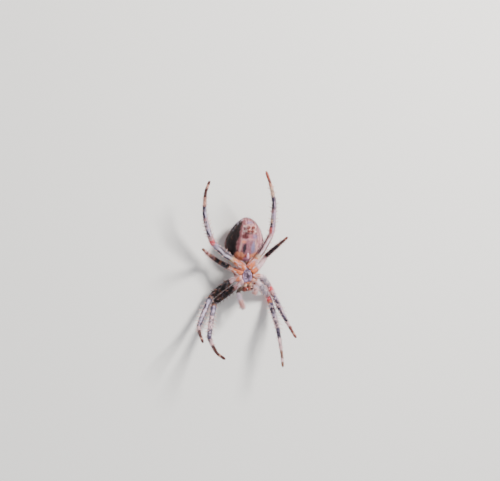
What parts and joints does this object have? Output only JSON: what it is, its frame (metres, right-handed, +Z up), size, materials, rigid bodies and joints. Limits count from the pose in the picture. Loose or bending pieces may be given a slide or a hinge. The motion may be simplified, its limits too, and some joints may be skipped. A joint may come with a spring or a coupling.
{
  "type": "orb weaver spider",
  "caption": "Life-size still model of an adult female orb weaver spider, lying on its back with its belly up and legs spread.",
  "frame": {"origin": "middle of the footprint box, on the floor that the back of the abdomen rests on", "axes": "+X toward the spider's right side, +Y toward the tail end, +Z up, out of the belly"},
  "size_m": [0.019, 0.0372, 0.011],
  "materials": {
    "abdomen": "soft skin, mottled reddish brown with a dark band edged in cream on the belly",
    "carapace": "brown shell with a dark middle stripe and pale hair",
    "sternum": "dark purplish shell with pale hairs",
    "coxae": "orange tan shell with tufts of white hair",
    "legs": "cream and pinkish shell ringed dark brown, hairy and spined",
    "palps": "cream and tan shell, hairy and spined",
    "mouthparts": "smooth reddish brown shell",
    "fangs": "glossy near-black shell",
    "eyes": "glossy black lens",
    "spinnerets": "brown hairy skin"
  },
  "bodies": {
    "root": {"abdomen": "abdomen", "carapace": "carapace", "chelicera_left": "mouthparts", "chelicera_right": "mouthparts", "epigynum": "spinnerets", "eye_anterior_lateral_left": "eyes", "eye_anterior_lateral_right": "eyes", "eye_anterior_median_left": "eyes", "eye_anterior_median_right": "eyes", "eye_posterior_lateral_left": "eyes", "eye_posterior_lateral_right": "eyes", "eye_posterior_median_left": "eyes", "eye_posterior_median_right": "eyes", "fang_left": "fangs", "fang_right": "fangs", "labium": "mouthparts", "leg_1_left_coxa": "coxae", "leg_1_left_femur": "legs", "leg_1_left_tarsus": "legs", "leg_1_left_tibia": "legs", "leg_1_right_coxa": "coxae", "leg_1_right_femur": "legs", "leg_1_right_tarsus": "legs", "leg_1_right_tibia": "legs", "leg_2_left_coxa": "coxae", "leg_2_left_femur": "legs", "leg_2_left_tarsus": "legs", "leg_2_left_tibia": "legs", "leg_2_right_coxa": "coxae", "leg_2_right_femur": "legs", "leg_2_right_tarsus": "legs", "leg_2_right_tibia": "legs", "leg_3_left_coxa": "coxae", "leg_3_left_femur": "legs", "leg_3_left_tarsus": "legs", "leg_3_left_tibia": "legs", "leg_3_right_coxa": "coxae", "leg_3_right_femur": "legs", "leg_3_right_tarsus": "legs", "leg_3_right_tibia": "legs", "leg_4_left_coxa": "coxae", "leg_4_left_femur": "legs", "leg_4_left_tarsus": "legs", "leg_4_left_tibia": "legs", "leg_4_right_coxa": "coxae", "leg_4_right_femur": "legs", "leg_4_right_tarsus": "legs", "leg_4_right_tibia": "legs", "maxilla_left": "mouthparts", "maxilla_right": "mouthparts", "palp_left_femur": "palps", "palp_left_tarsus": "palps", "palp_left_tibia": "palps", "palp_right_femur": "palps", "palp_right_tarsus": "palps", "palp_right_tibia": "palps", "pedicel": "carapace", "spinnerets": "spinnerets", "sternum": "sternum"}
  },
  "joints": []
}
